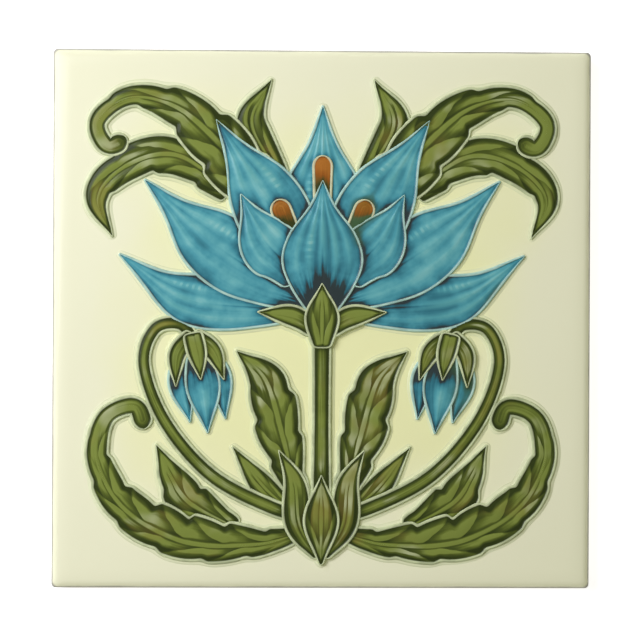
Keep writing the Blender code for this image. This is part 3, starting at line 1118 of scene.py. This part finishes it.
def colourGlaze(name, look):
    # The colour follows the glaze's thickness: the pool, clouds, streaks along the form, the dark rays of
    # a throat and the marks. Patches, worn places with a painted highlight on them and runs of green lie
    # over it, the crest is pale, and the ledge outside has the ground's cream with a tint of the glaze and
    # a line of painted shade along its foot.
    net = Wiring(name)
    flow = net.uvMap("flow")
    pool = net.attribute("pool")
    crest = net.attribute("edge")
    ledgeShare = net.attribute("ledge")

    stretched = net.add("ShaderNodeMapping", {"Vector": flow, "Scale": look["streakScale"]})
    streak = net.noise(**patterns["streak"], vector=stretched.outputs["Vector"])
    cloud = net.plus(net.noise(**patterns["fineCloud"]), net.noise(**patterns["broadCloud"]))
    mottled = net.spread(cloud, patterns["cloudLevels"], (-look["mottle"] / 2, look["mottle"] / 2))
    streaked = net.spread(streak, patterns["streakLevels"], (-look["streak"] / 2, look["streak"] / 2))
    rays = net.spread(streak, patterns["rayLevels"], patterns["rays"])
    thickness = net.plus(net.plus(pool, mottled), streaked)
    thickness = net.plus(thickness, net.times(net.attribute("dark"), rays))
    if look["veined"]:
        marks = lobeMarks(net)
        relief = net.times(marks, -1.0)
        change = marks
    else:
        marks = crinkleMarks(net, flow)
        relief = marks
        change = net.times(marks, -crinkles["clear"])
    thickness = net.maths("ADD", thickness, change, clamp=True)

    colour = glazeRamp(net, thickness, look["stops"])
    for kind, depth, shares, tint in (
        ("patch", pool, (look["patchShare"], 0.0), look["patch"]),
        ("wornAndHighlight", thickness, (look["wornAndHighlightShare"], 0.0), look["wornAndHighlight"]),
        ("bleed", pool, (0.0, look["bleedShare"]), bleedColour),
    ):
        pattern = patterns[kind]
        shown = net.times(net.blotches(pattern), net.spread(depth, pattern["pools"], shares))
        colour = net.blend(shown, colour, tint)
    colour = net.blend(net.times(crest, net.blotches(patterns["crest"])), colour, look["crest"])

    tinted = net.spread(ledgeShare, (0.0, 1.0), (0.0, creamGlaze["ledgeShare"]))
    cream = net.blend(tinted, look["tint"], creamColour(net))
    # painted shade along the ledge's foot, broken by blotches
    footShadeShare = net.times(net.attribute("foot"), net.blotches(patterns["foot"]))
    cream = net.blend(footShadeShare, cream, creamGlaze["foot"])
    colour = net.blend(ledgeShare, colour, cream)
    rough = net.spread(crest, (0.0, 1.0), glazeRoughness)
    return net.finish(colour, rough, look["shine"], relief, look["markDepth"])


def bodyFinish():
    # Cream glaze over the face and down the sides to an uneven line, bare biscuit below and on the back.
    # The glaze is thin and duller along the arris, and its colour there is darkened further as painted shade.
    net = Wiring("cream_glaze")
    height = net.add("ShaderNodeSeparateXYZ", {0: net.place}).outputs["Z"]
    wobble = net.noise(**biscuit["lineNoise"])
    line = net.spread(wobble, patterns["cloud"], biscuit["line"])
    glazed = net.spread(net.minus(height, line), biscuit["lineFade"])
    speck = net.noise(**biscuit["speckNoise"])
    bare = net.blend(net.spread(speck, patterns["speck"]), biscuit["colour"], biscuit["stain"])

    thinLine = net.spread(wobble, patterns["cloud"], creamGlaze["thinLine"])
    drawnOffAndShaded = net.spread(net.minus(height, thinLine), creamGlaze["thinFade"], (1.0, 0.0))
    thin = net.times(drawnOffAndShaded, net.spread(height, creamGlaze["thinFoot"]))
    # the arris band takes the thin colour: thin glaze and painted shade
    cream = net.blend(thin, creamColour(net), creamGlaze["thin"])
    glossy = net.spread(thin, (0.0, 1.0), (creamGlaze["roughness"], creamGlaze["thinRoughness"]))

    rough = net.spread(glazed, (0.0, 1.0), (biscuit["roughness"], glossy))
    grain = net.times(speck, net.minus(1.0, glazed))
    colour = net.blend(glazed, bare, cream)
    return net.finish(colour, rough, creamGlaze["shine"], grain, biscuit["grain"])


# The whole tile

bodyPiece = buildBody()
print(f"stage: tile body, {len(bodyPiece.data.polygons)} faces")
bodyPiece.data.materials.clear()
bodyPiece.data.materials.append(bodyFinish())

finishes = {
    "green_glaze": colourGlaze("green_glaze", greenGlaze),
    "blue_glaze": colourGlaze("blue_glaze", blueGlaze),
    "amber_glaze": colourGlaze("amber_glaze", amberGlaze),
}
print("stage: glazes")

everyShape = [shape for look in pieces.values() for shape in look["shapes"]]
for shape in everyShape:
    shape["loop"] = padEdge(shape)
for name, look in pieces.items():
    piece = reliefPiece(name, look, everyShape)
    piece.data.materials.append(finishes[look["slot"]])
    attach(piece, "root")
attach(bodyPiece, "root")
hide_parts("tile")
